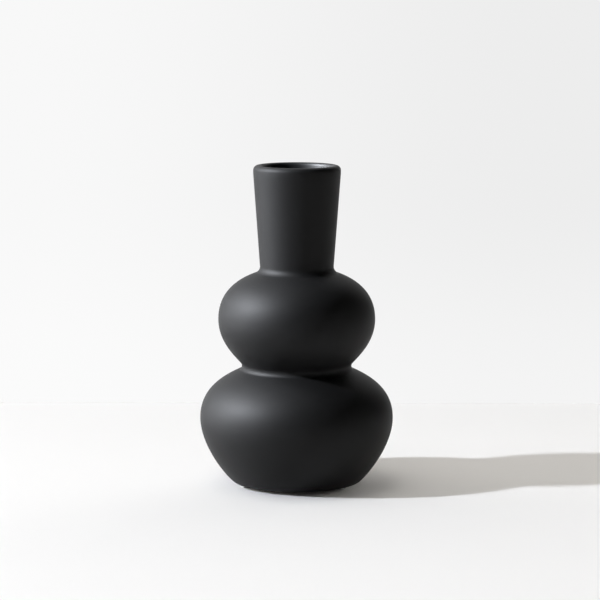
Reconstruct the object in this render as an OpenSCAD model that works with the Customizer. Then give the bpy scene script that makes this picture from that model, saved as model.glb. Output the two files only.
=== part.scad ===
// A ceramic vase: two flattened bulbs, the smaller on the larger, under a straight
// neck that widens a little towards a rounded lip. Each section is turned about the
// Z axis, and the outline is a chain of smooth curves, one for each side of a bulb.
// The sections plug into each other with spigots, as luted pottery does, and a coil
// of clay is smoothed into the crease at each joint.
// The origin is on the table, under the middle of the vase.

/* [Walls] */
// Thickness of the clay walls
wall = 5; // [4:0.1:6]
// Width of the flat seat around each spigot
seat_w = 2.4; // [1.5:0.1:3]
// Thickness of each spigot's own wall
spigot_t = 3.2; // [2.5:0.1:4]
// Slip-filled gap around each spigot
slip_gap = 0.2; // [0.1:0.05:0.4]
// Thickness of the glossy glaze that lines the inside
glaze_t = 0.4; // [0.3:0.1:0.8]

/* [Bumpers] */
// Height of the clear bumpers under the foot
bumper_h = 2.2; // [1.6:0.1:4]
// Diameter of one bumper
bumper_d = 8; // [6:0.5:8.5]
// Diameter of the flat face that a bumper stands on
bumper_face_d = 5.6; // [4:0.2:5.8]
// Number of bumpers
bumper_count = 3; // [3:1:6]
// Direction of the first bumper, seen from above
bumper_turn = -37; // [-180:1:180]

/* [Foot] */
// Diameter where the lower bulb would meet the foot without its rounding
foot_d = 95.9; // [92:0.5:104]
// Length of the rounding on each side of that edge
foot_round = 1.4; // [1:0.1:2]
// Width of the bare clay ring in the foot
ring_w = 9; // [8.5:0.5:11]
// Rim of glazed clay left between the ring and the rounding
ring_edge = 0.9; // [0.6:0.1:2]
// Depth of the groove that holds the ring
ring_seat_h = 3; // [2:0.25:4]
// Height of the hollow inside the ring
recess_h = 1.5; // [1:0.25:2.5]
// Thickness of the vase's floor above that hollow
floor_t = 6; // [5:0.25:9]

/* [Lower bulb] */
// Largest diameter of the lower bulb
lower_d = 145; // [135:1:160]
// Height from the foot to the waist crease
lower_h = 86; // [76:1:96]
// Height of the widest line, against the bulb's height
lower_mid_share = 0.558; // [0.5:0.01:0.62]
// Slope of the underside where it meets the foot
lower_under_slope = 38; // [32:1:44]
// Slope of the shoulder at the waist crease
lower_over_slope = 24; // [18:1:30]
// Pull of the underside's curve at the widest line and at the foot
lower_under_shares = [0.415, 0.373];
// Pull of the shoulder's curve at the widest line and at the waist
lower_over_shares = [0.6, 0.485];

/* [Waist] */
// Diameter of the crease between the bulbs, under its coil
waist_d = 77.5; // [70:0.5:84]
// How far the coil spreads along each bulb
waist_coil_w = 4.7; // [3:0.1:6]

/* [Upper bulb] */
// Largest diameter of the upper bulb
upper_d = 117.6; // [108:1:128]
// Height from the waist crease to the neck's foot
upper_h = 72.3; // [64:1:80]
// Height of the widest line, against the bulb's height
upper_mid_share = 0.506; // [0.46:0.01:0.56]
// Slope of the underside at the waist crease
upper_under_slope = 51.8; // [45:1:57]
// Slope of the shoulder at the neck's foot
upper_over_slope = 17.3; // [12:1:24]
// Pull of the underside's curve at the widest line and at the waist
upper_under_shares = [0.502, 0.463];
// Pull of the shoulder's curve at the widest line and at the neck
upper_over_shares = [0.649, 0.428];

/* [Neck] */
// Height from the neck's foot to the rim
neck_h = 79.5; // [60:1:100]
// Diameter of the neck at its foot, under its coil
neck_foot_d = 54.6; // [50:0.5:60]
// Diameter of the neck where the lip's rounding starts
neck_top_d = 65.3; // [60:0.5:72]
// How far the coil spreads along the neck and the shoulder
neck_coil_w = 4.2; // [3:0.1:6]

/* [Lip] */
// Height of the lip's outer rounding
lip_h = 5.9; // [4:0.1:7]
// Width of the lip's outer rounding
lip_w = 4.8; // [4:0.1:5.5]
// Radius of the lip's inner edge
lip_edge_r = 1.2; // [0.8:0.1:1.6]

/* [Hidden] */
$fn = 160;

clay_colour = "#2b2b2d";
bare_clay_colour = "#b9aa95";
glaze_colour = "#0b0b0c";
bumper_colour = "#e4e6e6";

// Steps in one side of a bulb, in a stretch under a coil and in a small rounding
side_steps = 20;
covered_steps = 4;
round_steps = 10;

// Heights above the table
foot_z = bumper_h;
floor_z = foot_z + recess_h + floor_t;
lower_mid_z = foot_z + lower_mid_share * lower_h;
waist_z = foot_z + lower_h;
upper_mid_z = waist_z + upper_mid_share * upper_h;
neck_z = waist_z + upper_h;
rim_z = neck_z + neck_h;

// Radii of the outside
foot_r = foot_d / 2;
lower_r = lower_d / 2;
waist_r = waist_d / 2;
upper_r = upper_d / 2;
neck_foot_r = neck_foot_d / 2;
neck_top_r = neck_top_d / 2;
crest_r = neck_top_r - lip_w;

// Radii of the foot ring
ring_out_r = foot_r - foot_round - ring_edge;
ring_in_r = ring_out_r - ring_w;
ring_mid_r = (ring_out_r + ring_in_r) / 2;

// Radii of the spigots, their sockets and the neck's bore at the lip
waist_spigot_r = waist_r - seat_w;
waist_socket_r = waist_spigot_r + slip_gap;
waist_bore_r = waist_spigot_r - spigot_t;
neck_spigot_r = neck_foot_r - seat_w;
neck_socket_r = neck_spigot_r + slip_gap;
neck_bore_r = neck_spigot_r - spigot_t;
lip_bore_r = crest_r - lip_edge_r;

// A point on a cubic curve, at t from 0 to 1
function cubic(c, t) =
    pow(1 - t, 3) * c[0] + 3 * pow(1 - t, 2) * t * c[1] + 3 * (1 - t) * t * t * c[2] + pow(t, 3) * c[3];

// Points on a curve from one t to another. The last is left out, because what
// follows starts there.
function stretch(c, from, to, steps) =
    [for (i = [0:steps - 1]) cubic(c, from + (to - from) * i / steps)];

// One side of a bulb, from its widest point to its end. It leaves the widest point
// upright and comes to its end at a slope, and the shares say how firmly.
function side(wide, end, slope, shares) =
    let (up = sign(end[1] - wide[1]), reach = shares[1] * (wide[0] - end[0]))
    [wide, wide + [0, shares[0] * (end[1] - wide[1])],
     end + reach * [cos(slope), -up * sin(slope)], end];

// Where on a side its last stretch of a given length starts
function last_stretch(c, length) = 1 - length / (3 * norm(c[3] - c[2]));

// The direction of a curve at t
function heading(c, t) =
    let (v = pow(1 - t, 2) * (c[1] - c[0]) + 2 * (1 - t) * t * (c[2] - c[1]) + t * t * (c[3] - c[2]))
    v / norm(v);

// Where two straight lines cross
function crossing(p, d, q, e) =
    p + d * ((q[0] - p[0]) * e[1] - (q[1] - p[1]) * e[0]) / (d[0] * e[1] - d[1] * e[0]);

// A rounding from p to q inside the corner c. It is a circular arc where both
// sides of the corner are of one length. The two end points are left out.
function rounding(p, c, q) =
    let (w = sqrt((1 + (c - p) * (q - c) / (norm(c - p) * norm(q - c))) / 2))
    [for (i = [1:round_steps - 1])
        let (t = i / round_steps, a = pow(1 - t, 2), b = 2 * w * t * (1 - t), e = t * t)
        (a * p + b * c + e * q) / (a + b + e)];

function reversed(points) = [for (i = [len(points) - 1:-1:0]) points[i]];

// The outer sides of both bulbs
lower_under = side([lower_r, lower_mid_z], [foot_r, foot_z], lower_under_slope, lower_under_shares);
lower_over = side([lower_r, lower_mid_z], [waist_r, waist_z], lower_over_slope, lower_over_shares);
upper_under = side([upper_r, upper_mid_z], [waist_r, waist_z], upper_under_slope, upper_under_shares);
upper_over = side([upper_r, upper_mid_z], [neck_foot_r, neck_z], upper_over_slope, upper_over_shares);

// Heights of the inner wall where it meets the spigots, one wall away from the outside
waist_socket_z = waist_z - wall / cos(lower_over_slope) + (waist_r - waist_socket_r) * tan(lower_over_slope);
waist_bore_z = waist_z + wall / cos(upper_under_slope) - (waist_r - waist_bore_r) * tan(upper_under_slope);
neck_socket_z = neck_z - wall / cos(upper_over_slope) + (neck_foot_r - neck_socket_r) * tan(upper_over_slope);

// The inner sides of both bulbs
lower_inside_under = side([lower_r - wall, lower_mid_z], [foot_r, floor_z],
                          lower_under_slope, lower_under_shares);
lower_inside_over = side([lower_r - wall, lower_mid_z], [waist_socket_r, waist_socket_z],
                         lower_over_slope, lower_over_shares);
upper_inside_under = side([upper_r - wall, upper_mid_z], [waist_bore_r, waist_bore_z],
                          upper_under_slope, upper_under_shares);
upper_inside_over = side([upper_r - wall, upper_mid_z], [neck_socket_r, neck_socket_z],
                         upper_over_slope, upper_over_shares);

// Where the coils start on the curves
lower_coil_t = last_stretch(lower_over, waist_coil_w);
upper_coil_t = last_stretch(upper_under, waist_coil_w);
shoulder_coil_t = last_stretch(upper_over, neck_coil_w);

// The stretches of the outside that the coils cover, from the bottom up
lower_covered = stretch(lower_over, lower_coil_t, 1, covered_steps);
upper_covered = stretch(upper_under, 1, upper_coil_t, covered_steps);
shoulder_covered = stretch(upper_over, shoulder_coil_t, 1, covered_steps);

// The neck's straight side, from its foot to the lip, and the coil's end on it
neck_side = [neck_top_r - neck_foot_r, neck_h - lip_h];
neck_up = neck_side / norm(neck_side);
neck_foot = [neck_foot_r, neck_z];
neck_top = [neck_top_r, rim_z - lip_h];
neck_coil_top = neck_foot + neck_coil_w * neck_up;

// The foot's rounding, from the flat face to the underside of the lower bulb
foot_t = last_stretch(lower_under, foot_round);
foot_start = [foot_r - foot_round, foot_z];
foot_end = cubic(lower_under, foot_t);
foot_corner = crossing(foot_start, [1, 0], foot_end, heading(lower_under, foot_t));
foot_rounding = concat([foot_start], rounding(foot_start, foot_corner, foot_end));

// The inside of each section, from the bottom up. The glaze starts to thin out
// level with the lip.
lower_inside = concat([[0, floor_z]],
                      stretch(lower_inside_under, 1, 0, side_steps),
                      stretch(lower_inside_over, 0, 1, side_steps),
                      [[waist_socket_r, waist_socket_z]]);
upper_inside = concat([[waist_bore_r, waist_socket_z]],
                      stretch(upper_inside_under, 1, 0, side_steps),
                      stretch(upper_inside_over, 0, 1, side_steps),
                      [[neck_socket_r, neck_socket_z]]);
thinning_share = (neck_h - lip_h) / (neck_h - lip_edge_r);
thinning_r = neck_bore_r + thinning_share * (lip_bore_r - neck_bore_r);
neck_inside = [[neck_bore_r, neck_socket_z], [neck_bore_r, neck_z],
               [thinning_r, rim_z - lip_h], [lip_bore_r, rim_z - lip_edge_r]];
whole_inside = concat(lower_inside, upper_inside, neck_inside);

// The same line moved inwards by the glaze's thickness, with mitred corners
function left_of(v) = [-v[1], v[0]] / norm(v);
glaze_face = [for (i = [1:len(whole_inside) - 2])
    let (n = left_of(whole_inside[i] - whole_inside[i - 1]),
         m = left_of(whole_inside[i + 1] - whole_inside[i]))
    whole_inside[i] + glaze_t * (n + m) / (1 + n * m)];

module turned(outline) {
    rotate_extrude() polygon(outline);
}

// Clear stick-on bumpers, domed towards a flat face on the table
module bumper_pads() {
    face = [bumper_face_d / 2, 0];
    rim = [bumper_d / 2, bumper_h];
    color(bumper_colour)
    for (i = [0:bumper_count - 1])
        rotate(bumper_turn + i * 360 / bumper_count)
        translate([ring_mid_r, 0, 0])
        turned(concat([[0, 0], face], rounding(face, [rim[0], face[1]], rim), [rim, [0, bumper_h]]));
}

// Ring of bare clay that the vase would stand on without its bumpers
module foot_ring() {
    color(bare_clay_colour)
    translate([0, 0, foot_z])
    turned([[ring_in_r, 0], [ring_out_r, 0], [ring_out_r, ring_seat_h], [ring_in_r, ring_seat_h]]);
}

// Larger bulb with the floor, the groove for the ring and the mouth for the spigot
module lower_bulb() {
    underneath = [[0, foot_z + recess_h],
                  [ring_in_r - slip_gap, foot_z + recess_h],
                  [ring_in_r - slip_gap, foot_z + ring_seat_h],
                  [ring_out_r + slip_gap, foot_z + ring_seat_h],
                  [ring_out_r + slip_gap, foot_z]];
    color(clay_colour)
    turned(concat(underneath,
                  foot_rounding,
                  stretch(lower_under, foot_t, 0, side_steps),
                  stretch(lower_over, 0, lower_coil_t, side_steps),
                  lower_covered,
                  [[waist_r, waist_z], [waist_socket_r, waist_z]],
                  reversed(lower_inside)));
}

// Coil of clay smoothed into the crease between the bulbs
module waist_coil() {
    low = cubic(lower_over, lower_coil_t);
    high = cubic(upper_under, upper_coil_t);
    corner = crossing(low, heading(lower_over, lower_coil_t), high, heading(upper_under, upper_coil_t));
    color(clay_colour)
    turned(concat(lower_covered, upper_covered, [high], rounding(high, corner, low)));
}

// Smaller bulb with a spigot below and a mouth for the neck's spigot above
module upper_bulb() {
    color(clay_colour)
    turned(concat([[waist_spigot_r, waist_socket_z], [waist_spigot_r, waist_z]],
                  upper_covered,
                  stretch(upper_under, upper_coil_t, 0, side_steps),
                  stretch(upper_over, 0, shoulder_coil_t, side_steps),
                  shoulder_covered,
                  [neck_foot, [neck_socket_r, neck_z]],
                  reversed(upper_inside)));
}

// Coil of clay smoothed into the crease at the neck's foot
module neck_coil() {
    low = cubic(upper_over, shoulder_coil_t);
    corner = crossing(low, heading(upper_over, shoulder_coil_t), neck_coil_top, neck_up);
    color(clay_colour)
    turned(concat(shoulder_covered, [neck_foot, neck_coil_top],
                  rounding(neck_coil_top, corner, low)));
}

// Neck with its spigot below and the rounded lip above
module neck() {
    crest = [crest_r, rim_z];
    edge = [lip_bore_r, rim_z - lip_edge_r];
    lip_corner = crossing(neck_top, neck_up, crest, [1, 0]);
    color(clay_colour)
    turned(concat([[neck_spigot_r, neck_socket_z], [neck_spigot_r, neck_z], neck_foot,
                   neck_coil_top, neck_top],
                  rounding(neck_top, lip_corner, crest),
                  [crest],
                  rounding(crest, [edge[0], crest[1]], edge),
                  reversed(neck_inside)));
}

// Glossy waterproof glaze on the whole inside, thinning out under the lip
module inner_glaze() {
    color(glaze_colour)
    turned(concat([[0, floor_z + glaze_t]], glaze_face, reversed(whole_inside)));
}

bumper_pads();
foot_ring();
lower_bulb();
waist_coil();
upper_bulb();
neck_coil();
neck();
inner_glaze();
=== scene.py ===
import math

import bpy
import numpy as np
from mathutils import Euler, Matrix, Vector


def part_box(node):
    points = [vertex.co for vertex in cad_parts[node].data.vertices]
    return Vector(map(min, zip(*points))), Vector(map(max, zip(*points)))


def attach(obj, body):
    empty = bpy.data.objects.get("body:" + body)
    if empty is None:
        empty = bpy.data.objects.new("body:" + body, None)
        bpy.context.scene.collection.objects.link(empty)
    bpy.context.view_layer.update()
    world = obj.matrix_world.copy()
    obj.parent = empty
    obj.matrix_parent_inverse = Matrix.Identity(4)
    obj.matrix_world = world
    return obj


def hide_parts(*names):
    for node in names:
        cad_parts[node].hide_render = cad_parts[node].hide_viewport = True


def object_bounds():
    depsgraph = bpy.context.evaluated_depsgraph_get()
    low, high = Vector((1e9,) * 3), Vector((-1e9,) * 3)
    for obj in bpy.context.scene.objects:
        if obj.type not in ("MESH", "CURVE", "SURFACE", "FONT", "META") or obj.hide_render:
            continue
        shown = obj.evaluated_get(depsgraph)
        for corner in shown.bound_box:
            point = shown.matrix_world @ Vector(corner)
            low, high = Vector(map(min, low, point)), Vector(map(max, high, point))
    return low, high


# A matte black vase of two turned bulbs and a flared neck, made over its CAD solids
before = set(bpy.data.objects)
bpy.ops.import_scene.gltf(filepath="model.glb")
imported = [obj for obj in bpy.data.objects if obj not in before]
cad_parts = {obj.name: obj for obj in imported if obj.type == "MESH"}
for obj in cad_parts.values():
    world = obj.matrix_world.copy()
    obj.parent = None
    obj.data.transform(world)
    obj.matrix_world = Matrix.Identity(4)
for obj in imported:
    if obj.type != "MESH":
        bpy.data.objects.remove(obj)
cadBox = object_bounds()
print("frame loaded:", ", ".join(sorted(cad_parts)))

mm = 0.001                  # lengths are in millimetres until a mesh, a pattern or a lamp takes them
tiny = 1e-6                 # a length too small to count
usualNoise = (0.3, 0.7)     # most values of a noise pattern lie between these


# An sRGB hex colour as linear RGBA
def linear(hexColour):
    parts = [int(hexColour[i:i + 2], 16) / 255 for i in (1, 3, 5)]
    return [c / 12.92 if c <= 0.04045 else ((c + 0.055) / 1.055) ** 2.4 for c in parts] + [1.0]


# Adds a node with its settings. An input is given a value, or another node's output to link.
def addNode(tree, kind, inputs=None, **settings):
    node = tree.nodes.new(kind)
    for name, value in settings.items():
        setattr(node, name, value)
    for name, value in (inputs or {}).items():
        if isinstance(value, bpy.types.NodeSocket):
            tree.links.new(value, node.inputs[name])
        else:
            node.inputs[name].default_value = value
    return node


# A new material with an empty tree, and the output that gives places in the vase's own frame
def newMaterial(name):
    material = bpy.data.materials.new(name)
    material.use_nodes = True
    material.node_tree.nodes.clear()
    place = addNode(material.node_tree, "ShaderNodeTexCoord").outputs["Object"]
    return material, material.node_tree, place


# Satin matte black glaze, sprayed over the whole outside and fired. Its tiny crystals spread
# each highlight into a broad soft patch, and no reflection is sharp.
matteGlaze = {
    "thick": "#0c0c0d", "thin": "#101011",      # where the spray lies thicker and thinner
    "cloud": 26, "cloudDetail": 3.0,            # width of those patches
    "cloudEdge": (0.35, 0.65),                  # the noise values over which one turns into the other
    "grain": 1.1, "grainHeight": 0.004,         # eggshell grain, really 0.3 mm and drawn coarser to show
    "grainBreak": 0.6,                          # how broken up the grain is
    "pitSpacing": 7, "pitWidth": 0.5, "pitDepth": 0.02,     # pinholes left by gas in the kiln
    "roughness": (0.585, 0.615), "ior": 1.5,
    "specular": 0.2,                            # its crystals shade each other, so it shines less than glass
    "edge": "#262525", "edgeReach": 1.6,        # a glaze runs thin over the edge of the lip
}


def makeMatteGlaze():
    g = matteGlaze
    material, tree, place = newMaterial("matteBlackGlazeSprayed")
    clouds = addNode(tree, "ShaderNodeTexNoise",
                     {"Vector": place, "Scale": 1 / (g["cloud"] * mm),
                      "Detail": g["cloudDetail"]}).outputs["Fac"]
    thinner = addNode(tree, "ShaderNodeMapRange",
                      {"Value": clouds, "From Min": g["cloudEdge"][0],
                       "From Max": g["cloudEdge"][1]}).outputs["Result"]
    body = addNode(tree, "ShaderNodeMix",
                   {"Factor": thinner, "A": linear(g["thick"]), "B": linear(g["thin"])},
                   data_type="RGBA").outputs["Result"]
    # The lip's crest is the highest part of the vase, so height alone finds it
    height = addNode(tree, "ShaderNodeSeparateXYZ", {"Vector": place}).outputs["Z"]
    rim = cadBox[1][2]
    crest = addNode(tree, "ShaderNodeMapRange",
                    {"Value": height, "From Min": rim - g["edgeReach"] * mm, "From Max": rim},
                    interpolation_type="SMOOTHSTEP").outputs["Result"]
    colour = addNode(tree, "ShaderNodeMix", {"Factor": crest, "A": body, "B": linear(g["edge"])},
                     data_type="RGBA").outputs["Result"]
    grain = addNode(tree, "ShaderNodeTexNoise",
                    {"Vector": place, "Scale": 1 / (g["grain"] * mm),
                     "Roughness": g["grainBreak"]}).outputs["Fac"]
    rough = addNode(tree, "ShaderNodeMapRange",
                    {"Value": grain, "From Min": usualNoise[0], "From Max": usualNoise[1],
                     "To Min": g["roughness"][0], "To Max": g["roughness"][1]}).outputs["Result"]
    cells = addNode(tree, "ShaderNodeTexVoronoi", {"Vector": place, "Scale": 1 / (g["pitSpacing"] * mm)})
    pitEdge = g["pitWidth"] / g["pitSpacing"] / 2       # a pit slopes over the outer half of its radius
    pits = addNode(tree, "ShaderNodeMapRange",
                   {"Value": cells.outputs["Distance"], "From Min": pitEdge / 2, "From Max": pitEdge})
    grained = addNode(tree, "ShaderNodeBump",
                      {"Height": grain, "Strength": 1.0, "Distance": g["grainHeight"] * mm})
    pitted = addNode(tree, "ShaderNodeBump",
                     {"Height": pits.outputs["Result"], "Strength": 1.0, "Distance": g["pitDepth"] * mm,
                      "Normal": grained.outputs["Normal"]})
    shader = addNode(tree, "ShaderNodeBsdfPrincipled",
                     {"Base Color": colour, "Roughness": rough, "IOR": g["ior"],
                      "Specular IOR Level": g["specular"], "Normal": pitted.outputs["Normal"]})
    addNode(tree, "ShaderNodeOutputMaterial", {"Surface": shader.outputs["BSDF"]})
    return material


# Black liner glaze, poured in and out again. It is smoother and shinier than the outside, with long
# soft waves, so the light that enters the mouth lies on it as one bright stretched patch.
glossGlaze = {
    "colour": "#0b0b0c", "pooled": "#050506",
    "wave": 14, "waveDetail": 1.0, "waveHeight": 0.05,
    "roughness": 0.54, "ior": 1.52,
}


def makeGlossGlaze():
    g = glossGlaze
    material, tree, place = newMaterial("glossBlackGlazePoured")
    waves = addNode(tree, "ShaderNodeTexNoise",
                    {"Vector": place, "Scale": 1 / (g["wave"] * mm),
                     "Detail": g["waveDetail"]}).outputs["Fac"]
    colour = addNode(tree, "ShaderNodeMix",
                     {"Factor": waves, "A": linear(g["colour"]), "B": linear(g["pooled"])},
                     data_type="RGBA").outputs["Result"]
    bump = addNode(tree, "ShaderNodeBump",
                   {"Height": waves, "Strength": 1.0, "Distance": g["waveHeight"] * mm})
    shader = addNode(tree, "ShaderNodeBsdfPrincipled",
                     {"Base Color": colour, "Roughness": g["roughness"], "IOR": g["ior"],
                      "Normal": bump.outputs["Normal"]})
    addNode(tree, "ShaderNodeOutputMaterial", {"Surface": shader.outputs["BSDF"]})
    return material


# Bare stoneware clay of the foot ring, wiped clean of glaze and sanded flat after firing. Its colour is
# painted far darker than such clay, as painted shade for the gap under the foot. It is dry and dull, with
# dark specks of iron.
bareClayDarkenedForShade = {
    # painted shade: both clay colours are darkened so that the shaded gap under the foot reads black
    "pale": "#37322e", "dark": "#2b2724",
    "cloud": 6, "cloudDetail": 4.0, "cloudBreak": 0.6,      # patches of the two
    "speck": "#12100e", "speckSpacing": 1.6, "speckWidth": 0.5,
    "grain": 0.5, "grainDetail": 3.0, "grainBreak": 0.7, "grainHeight": 0.05,
    "roughness": 0.85, "ior": 1.5,
}


def makeBareClayDarkenedForShade():
    c = bareClayDarkenedForShade
    material, tree, place = newMaterial("bareStonewareSandedPaintedShade")
    clouds = addNode(tree, "ShaderNodeTexNoise",
                     {"Vector": place, "Scale": 1 / (c["cloud"] * mm), "Detail": c["cloudDetail"],
                      "Roughness": c["cloudBreak"]}).outputs["Fac"]
    darker = addNode(tree, "ShaderNodeMapRange",
                     {"Value": clouds, "From Min": usualNoise[0],
                      "From Max": usualNoise[1]}).outputs["Result"]
    body = addNode(tree, "ShaderNodeMix",
                   {"Factor": darker, "A": linear(c["pale"]), "B": linear(c["dark"])},
                   data_type="RGBA").outputs["Result"]
    cells = addNode(tree, "ShaderNodeTexVoronoi", {"Vector": place, "Scale": 1 / (c["speckSpacing"] * mm)})
    speckEdge = c["speckWidth"] / c["speckSpacing"] / 2
    specks = addNode(tree, "ShaderNodeMapRange",
                     {"Value": cells.outputs["Distance"], "From Min": speckEdge / 2, "From Max": speckEdge,
                      "To Min": 1.0, "To Max": 0.0}).outputs["Result"]
    colour = addNode(tree, "ShaderNodeMix", {"Factor": specks, "A": body, "B": linear(c["speck"])},
                     data_type="RGBA").outputs["Result"]
    grain = addNode(tree, "ShaderNodeTexNoise",
                    {"Vector": place, "Scale": 1 / (c["grain"] * mm), "Detail": c["grainDetail"],
                     "Roughness": c["grainBreak"]}).outputs["Fac"]
    bump = addNode(tree, "ShaderNodeBump",
                   {"Height": grain, "Strength": 1.0, "Distance": c["grainHeight"] * mm})
    shader = addNode(tree, "ShaderNodeBsdfPrincipled",
                     {"Base Color": colour, "Roughness": c["roughness"], "IOR": c["ior"],
                      "Normal": bump.outputs["Normal"]})
    addNode(tree, "ShaderNodeOutputMaterial", {"Surface": shader.outputs["BSDF"]})
    return material


# Clear cast polyurethane of the stick-on bumpers: rubbery, glossy, and milky where little light
# comes through
clearRubber = {
    "clear": "#eef1f1", "milky": "#dfe4e4", "cloud": 3,
    "roughness": (0.12, 0.22), "ior": 1.5, "transmission": 0.25,
}


def makeClearRubber():
    r = clearRubber
    material, tree, place = newMaterial("clearPolyurethaneCast")
    clouds = addNode(tree, "ShaderNodeTexNoise",
                     {"Vector": place, "Scale": 1 / (r["cloud"] * mm)}).outputs["Fac"]
    colour = addNode(tree, "ShaderNodeMix",
                     {"Factor": clouds, "A": linear(r["clear"]), "B": linear(r["milky"])},
                     data_type="RGBA").outputs["Result"]
    rough = addNode(tree, "ShaderNodeMapRange",
                    {"Value": clouds, "From Min": usualNoise[0], "From Max": usualNoise[1],
                     "To Min": r["roughness"][0], "To Max": r["roughness"][1]}).outputs["Result"]
    shader = addNode(tree, "ShaderNodeBsdfPrincipled",
                     {"Base Color": colour, "Roughness": rough, "IOR": r["ior"],
                      "Transmission Weight": r["transmission"]})
    addNode(tree, "ShaderNodeOutputMaterial", {"Surface": shader.outputs["BSDF"]})
    return material


finishes = {
    "matte_black_glaze": makeMatteGlaze(),
    "gloss_black_glaze": makeGlossGlaze(),
    "bare_clay": makeBareClayDarkenedForShade(),
    "clear_bumper": makeClearRubber(),
}
print("finishes made:", ", ".join(m.name for m in finishes.values()))


# How finely the pieces are turned, in steps but for the angle
turning = {
    "side": 64, "inside": 40, "covered": 8,     # a bulb's side, its inside, and what lies under a coil
    "straight": 24, "lipSide": 4,               # a straight side, and the short one up to the lip's rounding
    "rounding": 24, "dome": 12, "easing": 4,    # a rounding, a bumper's, and a corner of the foot ring
    "segments": 192,                            # once round the axis
    "sharpAngle": 32,                           # an edge that turns by more degrees stays sharp
}


# A point of an outline is (radius, height)
def point(radius, height):
    return np.array((radius, height), float)


def unit(v):
    return v / np.linalg.norm(v)


# One side of a bulb: it leaves the widest point upright and comes to its end at a slope
def bulbSide(widest, end, slope, shares):
    up = math.copysign(1, end[1] - widest[1])
    reach = shares[1] * (widest[0] - end[0])
    angle = math.radians(slope)
    return [widest, widest + point(0, shares[0] * (end[1] - widest[1])),
            end + reach * point(math.cos(angle), -up * math.sin(angle)), end]


def onCurve(c, t):
    return (1 - t) ** 3 * c[0] + 3 * (1 - t) ** 2 * t * c[1] + 3 * (1 - t) * t * t * c[2] + t ** 3 * c[3]


def headingOn(c, t):
    return unit((1 - t) ** 2 * (c[1] - c[0]) + 2 * (1 - t) * t * (c[2] - c[1]) + t * t * (c[3] - c[2]))


# Points on a curve. The last is left out, because what follows starts there.
def stretch(c, start, stop, steps):
    return [onCurve(c, start + (stop - start) * i / steps) for i in range(steps)]


def straight(p, q, steps):
    return [p + (q - p) * i / steps for i in range(steps)]


# Where on a side its last stretch of a given length starts
def lastStretch(c, length):
    return 1 - length / (3 * np.linalg.norm(c[3] - c[2]))


# Where a line through p along d meets a line through q along e
def crossing(p, d, q, e):
    return p + d * ((q[0] - p[0]) * e[1] - (q[1] - p[1]) * e[0]) / (d[0] * e[1] - d[1] * e[0])


# A rounding from p to q inside a corner, without its two end points
def rounding(p, corner, q, steps=turning["rounding"]):
    w = math.sqrt((1 + unit(corner - p) @ unit(q - corner)) / 2)
    found = []
    for i in range(1, steps):
        t = i / steps
        a, b, e = (1 - t) ** 2, 2 * w * t * (1 - t), t * t
        found.append((a * p + b * corner + e * q) / (a + b + e))
    return found


# A new Geometry Nodes tree with named inputs, and the outputs that give their values
def newTree(name, inputs):
    tree = bpy.data.node_groups.new(name, "GeometryNodeTree")
    for label, kind in inputs:
        tree.interface.new_socket(label, in_out="INPUT", socket_type="NodeSocket" + kind)
    tree.interface.new_socket("Geometry", in_out="OUTPUT", socket_type="NodeSocketGeometry")
    return tree, addNode(tree, "NodeGroupInput").outputs


# Ends a tree in a plain mesh with its finish on it
def endTree(tree, geometry, finish):
    real = addNode(tree, "GeometryNodeRealizeInstances", {"Geometry": geometry}).outputs["Geometry"]
    finished = addNode(tree, "GeometryNodeSetMaterial", {"Geometry": real, "Material": finish})
    addNode(tree, "NodeGroupOutput", {"Geometry": finished.outputs["Geometry"]})


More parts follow.
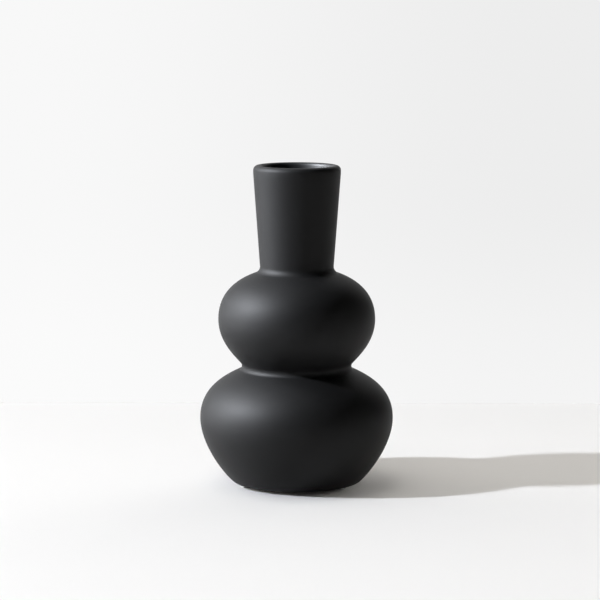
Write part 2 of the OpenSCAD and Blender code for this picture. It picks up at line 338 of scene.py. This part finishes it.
# Geometry Nodes tree that turns an outline about the Z axis, as a wheel does. A grid has a row for
# each point of the outline and a column for each step round, and each vertex takes its row's place.
def makeTurningTree():
    tree, given = newTree("turnedOnWheel", (("Outline", "Geometry"), ("Segments", "Int"),
                                            ("Closing Rows", "Int"), ("Sharp Angle", "Float"),
                                            ("Finish", "Material")))
    count = addNode(tree, "GeometryNodeAttributeDomainSize",
                    {"Geometry": given["Outline"]}).outputs["Point Count"]
    rows = addNode(tree, "ShaderNodeMath",
                   {0: count, 1: given["Closing Rows"]}, operation="ADD").outputs[0]
    columns = addNode(tree, "ShaderNodeMath", {0: given["Segments"], 1: 1.0}, operation="ADD").outputs[0]
    lastRow = addNode(tree, "ShaderNodeMath", {0: rows, 1: 1.0}, operation="SUBTRACT").outputs[0]
    half = 0.5      # of the grid, which lies about the origin
    grid = addNode(tree, "GeometryNodeMeshGrid",
                   {"Size X": 2 * half, "Size Y": 2 * half, "Vertices X": rows, "Vertices Y": columns})
    place = addNode(tree, "GeometryNodeInputPosition").outputs["Position"]
    across = addNode(tree, "ShaderNodeSeparateXYZ", {"Vector": place}).outputs
    row = addNode(tree, "ShaderNodeMapRange",
                  {"Value": across["X"], "From Min": -half, "From Max": half,
                   "To Min": 0.0, "To Max": lastRow})
    whole = addNode(tree, "ShaderNodeMath", {0: row.outputs["Result"]}, operation="ROUND").outputs[0]
    wrapped = addNode(tree, "ShaderNodeMath", {0: whole, 1: count}, operation="MODULO").outputs[0]
    turn = addNode(tree, "ShaderNodeMapRange",
                   {"Value": across["Y"], "From Min": -half, "From Max": half,
                    "To Min": 0.0, "To Max": 2 * math.pi}).outputs["Result"]
    taken = addNode(tree, "GeometryNodeSampleIndex",
                    {"Geometry": given["Outline"], "Value": place, "Index": wrapped},
                    data_type="FLOAT_VECTOR", domain="POINT").outputs["Value"]
    turned = addNode(tree, "ShaderNodeVectorRotate",
                     {"Vector": taken, "Angle": turn}, rotation_type="Z_AXIS").outputs["Vector"]
    placed = addNode(tree, "GeometryNodeSetPosition", {"Geometry": grid.outputs["Mesh"], "Position": turned})
    merged = addNode(tree, "GeometryNodeMergeByDistance",
                     {"Geometry": placed.outputs["Geometry"], "Distance": tiny})
    smooth = addNode(tree, "GeometryNodeSetShadeSmooth",
                     {"Geometry": merged.outputs["Geometry"], "Shade Smooth": True}, domain="FACE")
    fold = addNode(tree, "GeometryNodeInputMeshEdgeAngle").outputs["Unsigned Angle"]
    sharp = addNode(tree, "FunctionNodeCompare", {"A": fold, "B": given["Sharp Angle"]},
                    data_type="FLOAT", operation="GREATER_THAN").outputs["Result"]
    creased = addNode(tree, "GeometryNodeSetShadeSmooth",
                      {"Geometry": smooth.outputs["Geometry"], "Selection": sharp, "Shade Smooth": False},
                      domain="EDGE")
    endTree(tree, creased.outputs["Geometry"], given["Finish"])
    return tree


turningTree = makeTurningTree()


# A mesh object of bare points for an outline. Seen with the axis on the left, the outline is put
# clockwise, because the faces turned from it then point outwards.
def outlineObject(name, outline):
    twiceArea = sum(p[0] * q[1] - q[0] * p[1] for p, q in zip(outline, outline[1:] + outline[:1]))
    if twiceArea > 0:
        outline = outline[::-1]
    mesh = bpy.data.meshes.new(name)
    mesh.from_pydata([(r * mm, 0, z * mm) for r, z in outline], [], [])
    piece = bpy.data.objects.new(name, mesh)
    bpy.context.scene.collection.objects.link(piece)
    return piece


# Gives a piece a tree with its named inputs, and turns the result into a plain mesh
def shapeByTree(piece, tree, values):
    modifier = piece.modifiers.new("shape", "NODES")
    modifier.node_group = tree
    identifiers = {s.name: s.identifier for s in tree.interface.items_tree if s.in_out == "INPUT"}
    for name, value in values.items():
        modifier[identifiers[name]] = value
    depsgraph = bpy.context.evaluated_depsgraph_get()
    mesh = bpy.data.meshes.new_from_object(piece.evaluated_get(depsgraph),
                                           preserve_all_data_layers=True, depsgraph=depsgraph)
    mesh.name = piece.name
    piece.modifiers.clear()
    piece.data = mesh


# A finished piece rides on the vase's one body and replaces its CAD node
def settle(piece, node):
    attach(piece, "root")
    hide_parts(node)
    low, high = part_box(node)
    own = np.array([v.co for v in piece.data.vertices])
    apart = max(np.abs(own.min(0) - low).max(), np.abs(own.max(0) - high).max()) / mm
    print(f"{piece.name}: {len(piece.data.polygons)} faces, {apart:.3f} mm from its CAD node's box")


# A piece turned from its outline. An outline that doesn't end on the axis is closed by one more row.
def turnedPiece(name, outline, finish, node):
    piece = outlineObject(name, outline)
    onAxis = outline[0][0] < tiny and outline[-1][0] < tiny
    shapeByTree(piece, turningTree, {"Segments": turning["segments"], "Closing Rows": 0 if onAxis else 1,
                                     "Sharp Angle": math.radians(turning["sharpAngle"]),
                                     "Finish": finishes[finish]})
    settle(piece, node)


# What the clay pieces share: their wall, the spigots that join them, and the glaze inside
clay = {"wall": 5, "seatWidth": 2.4, "spigotWall": 3.2, "slipGap": 0.2, "glaze": 0.4}


# Height of the inner wall at a radius, one wall away from a slope that ends at a joint
def innerHeight(joint, radius, slope, up):
    angle = math.radians(slope)
    return joint[1] + up * (clay["wall"] / math.cos(angle) - (joint[0] - radius) * math.tan(angle))


# The foot: a ring of bare clay let into a groove, and clear bumpers stuck under it
bumpers = {
    "height": 2.2, "width": 8, "faceWidth": 5.6,
    "count": 3, "firstTurn": -37,               # degrees from the right, seen from above
    "segments": 64,
}
foot = {
    "width": 95.9, "rounding": 1.4,
    "ringWidth": 9, "ringEdge": 0.9, "ringSeat": 3,         # across, in from the rounding, into the groove
    "recess": 1.5, "floor": 6,                  # the hollow inside the ring, and the clay above it
    "easing": 0.35,                             # of the ring's corners
}

footZ = bumpers["height"]
ringOut = foot["width"] / 2 - foot["rounding"] - foot["ringEdge"]
ringIn = ringOut - foot["ringWidth"]
ringTop = footZ + foot["ringSeat"]
recessZ = footZ + foot["recess"]
floorZ = recessZ + foot["floor"]
footPoint = point(foot["width"] / 2, footZ)

ringOutline = []
corners = [point(ringIn, footZ), point(ringOut, footZ), point(ringOut, ringTop), point(ringIn, ringTop)]
for i, corner in enumerate(corners):
    start = corner + foot["easing"] * unit(corners[i - 1] - corner)
    stop = corner + foot["easing"] * unit(corners[(i + 1) % len(corners)] - corner)
    ringOutline += [start] + rounding(start, corner, stop, turning["easing"]) + [stop]
turnedPiece("bare_foot_ring", ringOutline, "bare_clay", "foot_ring")


# Geometry Nodes tree that sets turned bumpers at equal angles on a circle under the foot ring
def makeBumperTree():
    tree, given = newTree("bumpersUnderRing", (("Outline", "Geometry"), ("Count", "Int"),
                                               ("Ring Radius", "Float"), ("First Turn", "Float"),
                                               ("Segments", "Int"), ("Sharp Angle", "Float"),
                                               ("Finish", "Material")))
    one = addNode(tree, "GeometryNodeGroup", node_tree=turningTree)
    for name in ("Outline", "Segments", "Sharp Angle", "Finish"):
        tree.links.new(given[name], one.inputs[name])
    circle = addNode(tree, "GeometryNodeMeshCircle",
                     {"Vertices": given["Count"], "Radius": given["Ring Radius"]})
    turn = addNode(tree, "ShaderNodeCombineXYZ", {"Z": given["First Turn"]}).outputs["Vector"]
    ring = addNode(tree, "GeometryNodeTransform", {"Geometry": circle.outputs["Mesh"], "Rotation": turn})
    placed = addNode(tree, "GeometryNodeInstanceOnPoints",
                     {"Points": ring.outputs["Geometry"], "Instance": one.outputs["Geometry"]})
    endTree(tree, placed.outputs["Instances"], given["Finish"])
    return tree


facePoint = point(bumpers["faceWidth"] / 2, 0)
domeTop = point(bumpers["width"] / 2, bumpers["height"])
bumperOutline = ([point(0, 0), facePoint]
                 + rounding(facePoint, point(domeTop[0], 0), domeTop, turning["dome"])
                 + [domeTop, point(0, bumpers["height"])])
bumperPiece = outlineObject("clear_bumpers", bumperOutline)
shapeByTree(bumperPiece, makeBumperTree(), {
    "Count": bumpers["count"], "Ring Radius": (ringIn + ringOut) / 2 * mm,
    "First Turn": math.radians(bumpers["firstTurn"]), "Segments": bumpers["segments"],
    "Sharp Angle": math.radians(turning["sharpAngle"]), "Finish": finishes["clear_bumper"]})
settle(bumperPiece, "bumper_pads")
print("foot made")

# The lower bulb, up to the waist where the upper bulb stands on it. Its side has two curves, and the
# end of the upper one lies under the waist's coil.
lowerBulb = {
    "width": 145, "height": 86, "topWidth": 77.5,
    "midShare": 0.558,                          # of the height, where it is widest
    "underSlope": 38, "overSlope": 24,          # degrees from level, at the foot and at the waist
    "underShares": (0.415, 0.373), "overShares": (0.6, 0.485),      # how far the curves' handles reach
}
waistCoil = {"reach": 4.7}                      # from the crease, along either side

waistPoint = point(lowerBulb["topWidth"] / 2, footZ + lowerBulb["height"])
waistSpigot = waistPoint[0] - clay["seatWidth"]
waistSocket = waistSpigot + clay["slipGap"]
waistBore = waistSpigot - clay["spigotWall"]
inwards = point(-clay["wall"], 0)

lowerMid = point(lowerBulb["width"] / 2, footZ + lowerBulb["midShare"] * lowerBulb["height"])
lowerUnder = bulbSide(lowerMid, footPoint, lowerBulb["underSlope"], lowerBulb["underShares"])
lowerOver = bulbSide(lowerMid, waistPoint, lowerBulb["overSlope"], lowerBulb["overShares"])
lowerCoilT = lastStretch(lowerOver, waistCoil["reach"])
lowerCovered = stretch(lowerOver, lowerCoilT, 1, turning["covered"])

lowerMouth = point(waistSocket, innerHeight(waistPoint, waistSocket, lowerBulb["overSlope"], -1))
lowerInUnder = bulbSide(lowerMid + inwards, point(footPoint[0], floorZ),
                        lowerBulb["underSlope"], lowerBulb["underShares"])
lowerInOver = bulbSide(lowerMid + inwards, lowerMouth, lowerBulb["overSlope"], lowerBulb["overShares"])
lowerInside = ([point(0, floorZ)] + stretch(lowerInUnder, 1, 0, turning["inside"])
               + stretch(lowerInOver, 0, 1, turning["inside"]) + [lowerMouth])

footT = lastStretch(lowerUnder, foot["rounding"])
footStart, footEnd = footPoint - point(foot["rounding"], 0), onCurve(lowerUnder, footT)
footCorner = crossing(footStart, point(1, 0), footEnd, headingOn(lowerUnder, footT))
grooveIn, grooveOut = ringIn - clay["slipGap"], ringOut + clay["slipGap"]

lowerOutline = ([point(0, recessZ), point(grooveIn, recessZ), point(grooveIn, ringTop),
                 point(grooveOut, ringTop), point(grooveOut, footZ), footStart]
                + rounding(footStart, footCorner, footEnd)
                + stretch(lowerUnder, footT, 0, turning["side"])
                + stretch(lowerOver, 0, lowerCoilT, turning["side"])
                + lowerCovered
                + [waistPoint, point(waistSocket, waistPoint[1])]
                + lowerInside[::-1])
turnedPiece("lower_bulb_body", lowerOutline, "matte_black_glaze", "lower_bulb")

# The upper bulb, from its spigot in the waist to the foot of the neck
upperBulb = {
    "width": 117.6, "height": 72.3, "topWidth": 54.6, "midShare": 0.506,
    "underSlope": 51.8, "overSlope": 17.3,
    "underShares": (0.502, 0.463), "overShares": (0.649, 0.428),
}
neckCoil = {"reach": 4.2}

neckFoot = point(upperBulb["topWidth"] / 2, waistPoint[1] + upperBulb["height"])
neckSpigot = neckFoot[0] - clay["seatWidth"]
neckSocket = neckSpigot + clay["slipGap"]
neckBore = neckSpigot - clay["spigotWall"]

upperMid = point(upperBulb["width"] / 2, waistPoint[1] + upperBulb["midShare"] * upperBulb["height"])
upperUnder = bulbSide(upperMid, waistPoint, upperBulb["underSlope"], upperBulb["underShares"])
upperOver = bulbSide(upperMid, neckFoot, upperBulb["overSlope"], upperBulb["overShares"])
upperCoilT = lastStretch(upperUnder, waistCoil["reach"])
upperCovered = stretch(upperUnder, 1, upperCoilT, turning["covered"])
shoulderCoilT = lastStretch(upperOver, neckCoil["reach"])
shoulderCovered = stretch(upperOver, shoulderCoilT, 1, turning["covered"])

upperFloor = point(waistBore, innerHeight(waistPoint, waistBore, upperBulb["underSlope"], 1))
upperMouth = point(neckSocket, innerHeight(neckFoot, neckSocket, upperBulb["overSlope"], -1))
upperInUnder = bulbSide(upperMid + inwards, upperFloor, upperBulb["underSlope"], upperBulb["underShares"])
upperInOver = bulbSide(upperMid + inwards, upperMouth, upperBulb["overSlope"], upperBulb["overShares"])
upperInside = ([point(waistBore, lowerMouth[1])] + stretch(upperInUnder, 1, 0, turning["inside"])
               + stretch(upperInOver, 0, 1, turning["inside"]) + [upperMouth])

upperOutline = ([point(waistSpigot, lowerMouth[1]), point(waistSpigot, waistPoint[1])]
                + upperCovered
                + stretch(upperUnder, upperCoilT, 0, turning["side"])
                + stretch(upperOver, 0, shoulderCoilT, turning["side"])
                + shoulderCovered
                + [neckFoot, point(neckSocket, neckFoot[1])]
                + upperInside[::-1])
turnedPiece("upper_bulb_body", upperOutline, "matte_black_glaze", "upper_bulb")

# The coil smoothed into the waist lies on both bulbs and rounds the crease between them
low, high = onCurve(lowerOver, lowerCoilT), onCurve(upperUnder, upperCoilT)
crease = crossing(low, headingOn(lowerOver, lowerCoilT), high, headingOn(upperUnder, upperCoilT))
waistOutline = lowerCovered + upperCovered + [high] + rounding(high, crease, low)
turnedPiece("smoothed_waist_coil", waistOutline, "matte_black_glaze", "waist_coil")
print("bulbs made")

# The neck widens a little to the lip, which is rounded over to the mouth. Its real roundings are
# tighter than the solid's, and they lie within the solid's height and width.
neck = {"height": 79.5, "topWidth": 65.3}
lip = {
    "height": 5.9,                              # the neck's side ends so far below the rim
    "crestIn": 6.0, "edge": 1.2,                # the mouth's edge: in from the side, and down from the rim
    "outer": (3.4, 3.6), "inner": (2.0, 2.2),   # the lip's two roundings, across and down
    "steps": 16, "glazed": 11,                  # of the inner one, and how many the liner glaze reaches over
}

rimZ = neckFoot[1] + neck["height"]
neckTop = point(neck["topWidth"] / 2, rimZ - lip["height"])
mouthEdge = point(neckTop[0] - lip["crestIn"], rimZ - lip["edge"])
neckUp = unit(neckTop - neckFoot)
coilTop = neckFoot + neckCoil["reach"] * neckUp
outerEnd = point(neckTop[0], rimZ - lip["outer"][1])
outerTop = point(neckTop[0] - lip["outer"][0], rimZ)
innerTop = point(mouthEdge[0] + lip["inner"][0], rimZ)

# The wall thins at a steady rate from the neck's foot to the lip
thinning = (neck["height"] - lip["height"]) / (neck["height"] - lip["edge"])
lipStart = point(neckBore + thinning * (mouthEdge[0] - neckBore), rimZ - lip["height"])
lipShare = (lip["height"] - lip["inner"][1]) / (lip["height"] - lip["edge"])
innerEnd = lipStart + lipShare * (mouthEdge - lipStart)
innerEdge = rounding(innerEnd, point(mouthEdge[0], rimZ), innerTop, lip["steps"])
neckInside = [point(neckBore, upperMouth[1]), point(neckBore, neckFoot[1]), lipStart, innerEnd]

neckOutline = ([point(neckSpigot, upperMouth[1]), point(neckSpigot, neckFoot[1]), neckFoot]
               + straight(coilTop, neckTop, turning["straight"])
               + straight(neckTop, outerEnd, turning["lipSide"]) + [outerEnd]
               + rounding(outerEnd, point(neckTop[0], rimZ), outerTop) + [outerTop, innerTop]
               + innerEdge[::-1] + neckInside[::-1])
turnedPiece("flared_neck", neckOutline, "matte_black_glaze", "neck")

shoulder = onCurve(upperOver, shoulderCoilT)
crease = crossing(shoulder, headingOn(upperOver, shoulderCoilT), coilTop, neckUp)
neckCoilOutline = shoulderCovered + [neckFoot, coilTop] + rounding(coilTop, crease, shoulder)
turnedPiece("smoothed_neck_coil", neckCoilOutline, "matte_black_glaze", "neck_coil")
print("neck made")

# The liner glaze follows the whole inside, and its free face lies one glaze's thickness inwards. On
# the mouth's rounding it thins away to nothing.
linerEdge = innerEdge[:lip["glazed"]]
wholeInside = (lowerInside + upperInside + neckInside[:1]
               + straight(neckInside[1], neckInside[2], turning["straight"]) + neckInside[2:] + linerEdge)
glazeFace = [point(0, floorZ + clay["glaze"])]
for i in range(1, len(wholeInside) - 1):
    before, here, after = wholeInside[i - 1:i + 2]
    n, m = ((-v[1], v[0]) / np.linalg.norm(v) for v in (here - before, after - here))
    thinned = min(1, (len(wholeInside) - 1 - i) / len(linerEdge))
    glazeFace.append(here + clay["glaze"] * thinned * (n + m) / (1 + n @ m))
turnedPiece("poured_liner_glaze", glazeFace + wholeInside[::-1], "gloss_black_glaze", "inner_glaze")
print("glaze poured")

# The floor is a matte white painted board, its colour painted a little darker towards the back as painted
# shade. The wall close behind it is a white panel that glows with painted light, brighter on the left and at
# its foot, which only the camera, gloss and glass see, so that it doesn't hide the light from behind it.
studio = {
    # The floor's colour is painted darker towards the back, as painted shade where less light falls
    "floorFront": "#f5f5f5", "floorBehindPaintedShade": "#f1f1f1",
    "floorFade": (-250, 300),                   # from front to back, where one turns into the other
    "cloud": 60, "cloudDetail": 3.0, "cloudReach": 60,      # uneven patches, and how far they shift that
    "grain": 0.8, "grainHeight": 0.01, "roughness": 0.9, "specular": 0.0,
    "floorReach": 8000,
    "panelBehind": 338, "panelLeft": -2000, "panelRight": 310, "panelHeight": 700,
    # Painted light: the panel's glow is brighter on the left and at its foot, as if lit from the left
    "panelTop": ("#f8f8f8", "#ededed"), "panelFoot": ("#fbfbfb", "#f4f4f4"),    # on the left, on the right
    "panelFade": (-250, 230), "panelFootHeight": 200,       # where left turns into right, and foot into top
}


# One where the camera, gloss or glass looks, and nought where paint takes its light
def lookedAt(tree):
    ray = addNode(tree, "ShaderNodeLightPath").outputs
    shiny = addNode(tree, "ShaderNodeMath", {0: ray["Is Glossy Ray"], 1: ray["Is Transmission Ray"]},
                    operation="MAXIMUM").outputs[0]
    return addNode(tree, "ShaderNodeMath", {0: ray["Is Camera Ray"], 1: shiny},
                   operation="MAXIMUM").outputs[0]


def makeFloorBoard():
    material, tree, place = newMaterial("whitePaintedBoard")
    clouds = addNode(tree, "ShaderNodeTexNoise",
                     {"Vector": place, "Scale": 1 / (studio["cloud"] * mm),
                      "Detail": studio["cloudDetail"]}).outputs["Fac"]
    grain = addNode(tree, "ShaderNodeTexNoise",
                    {"Vector": place, "Scale": 1 / (studio["grain"] * mm)}).outputs["Fac"]
    bump = addNode(tree, "ShaderNodeBump",
                   {"Height": grain, "Strength": 1.0, "Distance": studio["grainHeight"] * mm})
    depth = addNode(tree, "ShaderNodeSeparateXYZ", {"Vector": place}).outputs["Y"]
    uneven = addNode(tree, "ShaderNodeMath", {0: clouds, 1: studio["cloudReach"] * mm, 2: depth},
                     operation="MULTIPLY_ADD").outputs[0]
    # Painted shade: the colour turns darker from the front of the floor to the back
    start, stop = studio["floorFade"]
    paintedShadeBehind = addNode(tree, "ShaderNodeMapRange",
                      {"Value": uneven, "From Min": start * mm, "From Max": stop * mm}).outputs["Result"]
    colour = addNode(tree, "ShaderNodeMix",
                     {"Factor": paintedShadeBehind, "A": linear(studio["floorFront"]),
                      "B": linear(studio["floorBehindPaintedShade"])}, data_type="RGBA").outputs["Result"]
    board = addNode(tree, "ShaderNodeBsdfPrincipled",
                    {"Base Color": colour, "Roughness": studio["roughness"],
                     "Specular IOR Level": studio["specular"],
                     "Normal": bump.outputs["Normal"]}).outputs["BSDF"]
    addNode(tree, "ShaderNodeOutputMaterial", {"Surface": board})
    return material


# The panel's glow is painted a little brighter on the left and at its foot, as painted light falling from the
# left. Seen from behind it is clear, so that it hides nothing from a camera on the far side.
def makeLitPanel():
    material, tree, place = newMaterial("litWhitePanel")
    across = addNode(tree, "ShaderNodeSeparateXYZ", {"Vector": place}).outputs
    start, stop = studio["panelFade"]
    fade = addNode(tree, "ShaderNodeMapRange",
                   {"Value": across["X"], "From Min": start * mm, "From Max": stop * mm},
                   interpolation_type="SMOOTHSTEP").outputs["Result"]
    rise = addNode(tree, "ShaderNodeMapRange",
                   {"Value": across["Z"], "From Min": 0.0, "From Max": studio["panelFootHeight"] * mm},
                   interpolation_type="SMOOTHSTEP").outputs["Result"]
    low, high = (addNode(tree, "ShaderNodeMix",
                         {"Factor": fade, "A": linear(left), "B": linear(right)},
                         data_type="RGBA").outputs["Result"]
                 for left, right in (studio["panelFoot"], studio["panelTop"]))
    colour = addNode(tree, "ShaderNodeMix", {"Factor": rise, "A": low, "B": high},
                     data_type="RGBA").outputs["Result"]
    glow = addNode(tree, "ShaderNodeEmission",
                   {"Color": colour, "Strength": lookedAt(tree)}).outputs["Emission"]
    behind = addNode(tree, "ShaderNodeNewGeometry").outputs["Backfacing"]
    clear = addNode(tree, "ShaderNodeBsdfTransparent").outputs["BSDF"]
    panel = addNode(tree, "ShaderNodeMixShader", {"Fac": behind, 1: glow, 2: clear}).outputs["Shader"]
    addNode(tree, "ShaderNodeOutputMaterial", {"Surface": panel})
    material.cycles.emission_sampling = "NONE"
    return material


def stagePlane(name, corners, material):
    mesh = bpy.data.meshes.new(name)
    places = [tuple(c * mm for c in corner) for corner in corners]
    mesh.from_pydata(places, [], [tuple(range(len(corners)))])
    mesh.materials.append(material)
    plane = bpy.data.objects.new(name, mesh)
    bpy.context.scene.collection.objects.link(plane)
    return plane


reach, back, up = studio["floorReach"], studio["panelBehind"], studio["panelHeight"]
left, right = studio["panelLeft"], studio["panelRight"]
stagePlane("studioFloor", [(-reach, -reach, 0), (reach, -reach, 0), (reach, reach, 0), (-reach, reach, 0)],
           makeFloorBoard())
panel = stagePlane("litPanel", [(left, back, 0), (right, back, 0), (right, back, up), (left, back, up)],
                   makeLitPanel())
panel.visible_diffuse = False
panel.visible_shadow = False

# The key lamp is small and far off to the left, so the shadow is long and its edge soft far out. A
# large box high up on the left fills, and only paint takes its light. The glaze shows a bright patch
# of the key, a tall strip on the left and a window behind on the left, from the key and three lamps
# that only gloss sees. Each lamp is aimed at a point.
lamps = {
    "keyLamp": {"place": (-4550, -1100, 2860), "at": (0, 0, 100), "size": (330, 330), "power": 276,
                "colour": "#f4f8ff", "seenBy": "all"},
    "keySheen": {"place": (-4550, -1100, 2860), "at": (0, 0, 100), "size": (330, 330), "power": 758,
                 "colour": "#f1f6ff", "seenBy": "gloss"},
    "leftStrip": {"place": (-2479, 326, 1780), "at": (0, 0, 1780), "size": (658, 3560), "power": 254,
                  "colour": "#f5f8fd", "seenBy": "gloss"},
    "leftWindow": {"place": (-1225, 338, 900), "at": (-1225, 0, 900), "size": (1550, 1800), "power": 37,
                   "colour": "#f5f8fd", "seenBy": "gloss"},
    "topBox": {"place": (-1140, -600, 4950), "at": (0, 0, 0), "size": (3390, 3390), "power": 63,
               "colour": "#fffbf5", "seenBy": "paint"},
}
for name, lamp in lamps.items():
    data = bpy.data.lights.new(name, "AREA")
    data.shape = "ELLIPSE" if name.startswith("key") else "RECTANGLE"
    data.size, data.size_y = (side * mm for side in lamp["size"])
    data.energy = lamp["power"]
    data.color = linear(lamp["colour"])[:3]
    light = bpy.data.objects.new(name, data)
    light.location = Vector(lamp["place"]) * mm
    aim = Vector(lamp["at"]) * mm - light.location
    light.rotation_euler = aim.to_track_quat("-Z", "Y").to_euler()
    light.visible_camera = False
    light.visible_diffuse = lamp["seenBy"] != "gloss"
    light.visible_glossy = lamp["seenBy"] != "paint"
    bpy.context.scene.collection.objects.link(light)

# The room is dim but for a low bright band on the side behind the panel, as of windows in a far
# wall. Paint takes its light from it and gloss doesn't, and the camera sees pale walls.
room = {
    "dim": 0.11, "band": 27.0,                  # strengths
    "bandColour": "#fffbf5", "walls": "#ededed",
    "bandTop": 10, "bandEdge": 0.01,            # degrees above level, and half the height of its blurred edge
    "bandTowards": (-0.17, 0.985, 0),           # the direction of its middle
    "bandEnds": (0.2, 0.5),                     # cosines of the turn from there, where it is gone and full
}


def makeRoom():
    world = bpy.data.worlds.new("dimRoomWithLowWindows")
    world.use_nodes = True
    tree = world.node_tree
    tree.nodes.clear()
    heading = addNode(tree, "ShaderNodeTexCoord").outputs["Generated"]
    height = addNode(tree, "ShaderNodeSeparateXYZ", {"Vector": heading}).outputs["Z"]
    top = math.sin(math.radians(room["bandTop"]))
    low = addNode(tree, "ShaderNodeMapRange",
                  {"Value": height, "From Min": top - room["bandEdge"], "From Max": top + room["bandEdge"],
                   "To Min": 1.0, "To Max": 0.0})
    towards = addNode(tree, "ShaderNodeVectorMath", {0: heading, 1: room["bandTowards"]},
                      operation="DOT_PRODUCT").outputs["Value"]
    side = addNode(tree, "ShaderNodeMapRange",
                   {"Value": towards, "From Min": room["bandEnds"][0], "From Max": room["bandEnds"][1]})
    band = addNode(tree, "ShaderNodeMath", {0: low.outputs["Result"], 1: side.outputs["Result"]},
                   operation="MULTIPLY").outputs[0]
    strength = addNode(tree, "ShaderNodeMath", {0: band, 1: room["band"], 2: room["dim"]},
                       operation="MULTIPLY_ADD").outputs[0]
    lit = addNode(tree, "ShaderNodeBackground", {"Color": linear(room["bandColour"]), "Strength": strength})
    walls = addNode(tree, "ShaderNodeBackground", {"Color": linear(room["walls"]), "Strength": 1.0})
    shown = addNode(tree, "ShaderNodeMixShader",
                    {"Fac": lookedAt(tree), 1: lit.outputs["Background"], 2: walls.outputs["Background"]})
    addNode(tree, "ShaderNodeOutputWorld", {"Surface": shown.outputs["Shader"]})
    return world


bpy.context.scene.world = makeRoom()
bpy.context.scene.world.cycles_visibility.glossy = False

# The camera stands 1.81 m in front of the vase, a little above it, and looks slightly down
view = {
    "place": (2.4, -1809.6, 384.9), "down": 7.74, "roll": 0.124,        # the last two in degrees
    "lens": 146.34, "sensor": 36, "farthest": 100,
}
cameraData = bpy.data.cameras.new("camera")
cameraData.lens = view["lens"]
cameraData.sensor_width = view["sensor"]
cameraData.clip_end = view["farthest"]
camera = bpy.data.objects.new("camera", cameraData)
camera.location = Vector(view["place"]) * mm
camera.rotation_euler = (Euler((math.radians(90 - view["down"]), 0, 0)).to_matrix()
                         @ Euler((0, 0, math.radians(view["roll"]))).to_matrix()).to_euler()
bpy.context.scene.collection.objects.link(camera)
bpy.context.scene.camera = camera
bpy.context.scene.view_settings.view_transform = "Standard"
print("studio, lamps and camera set")
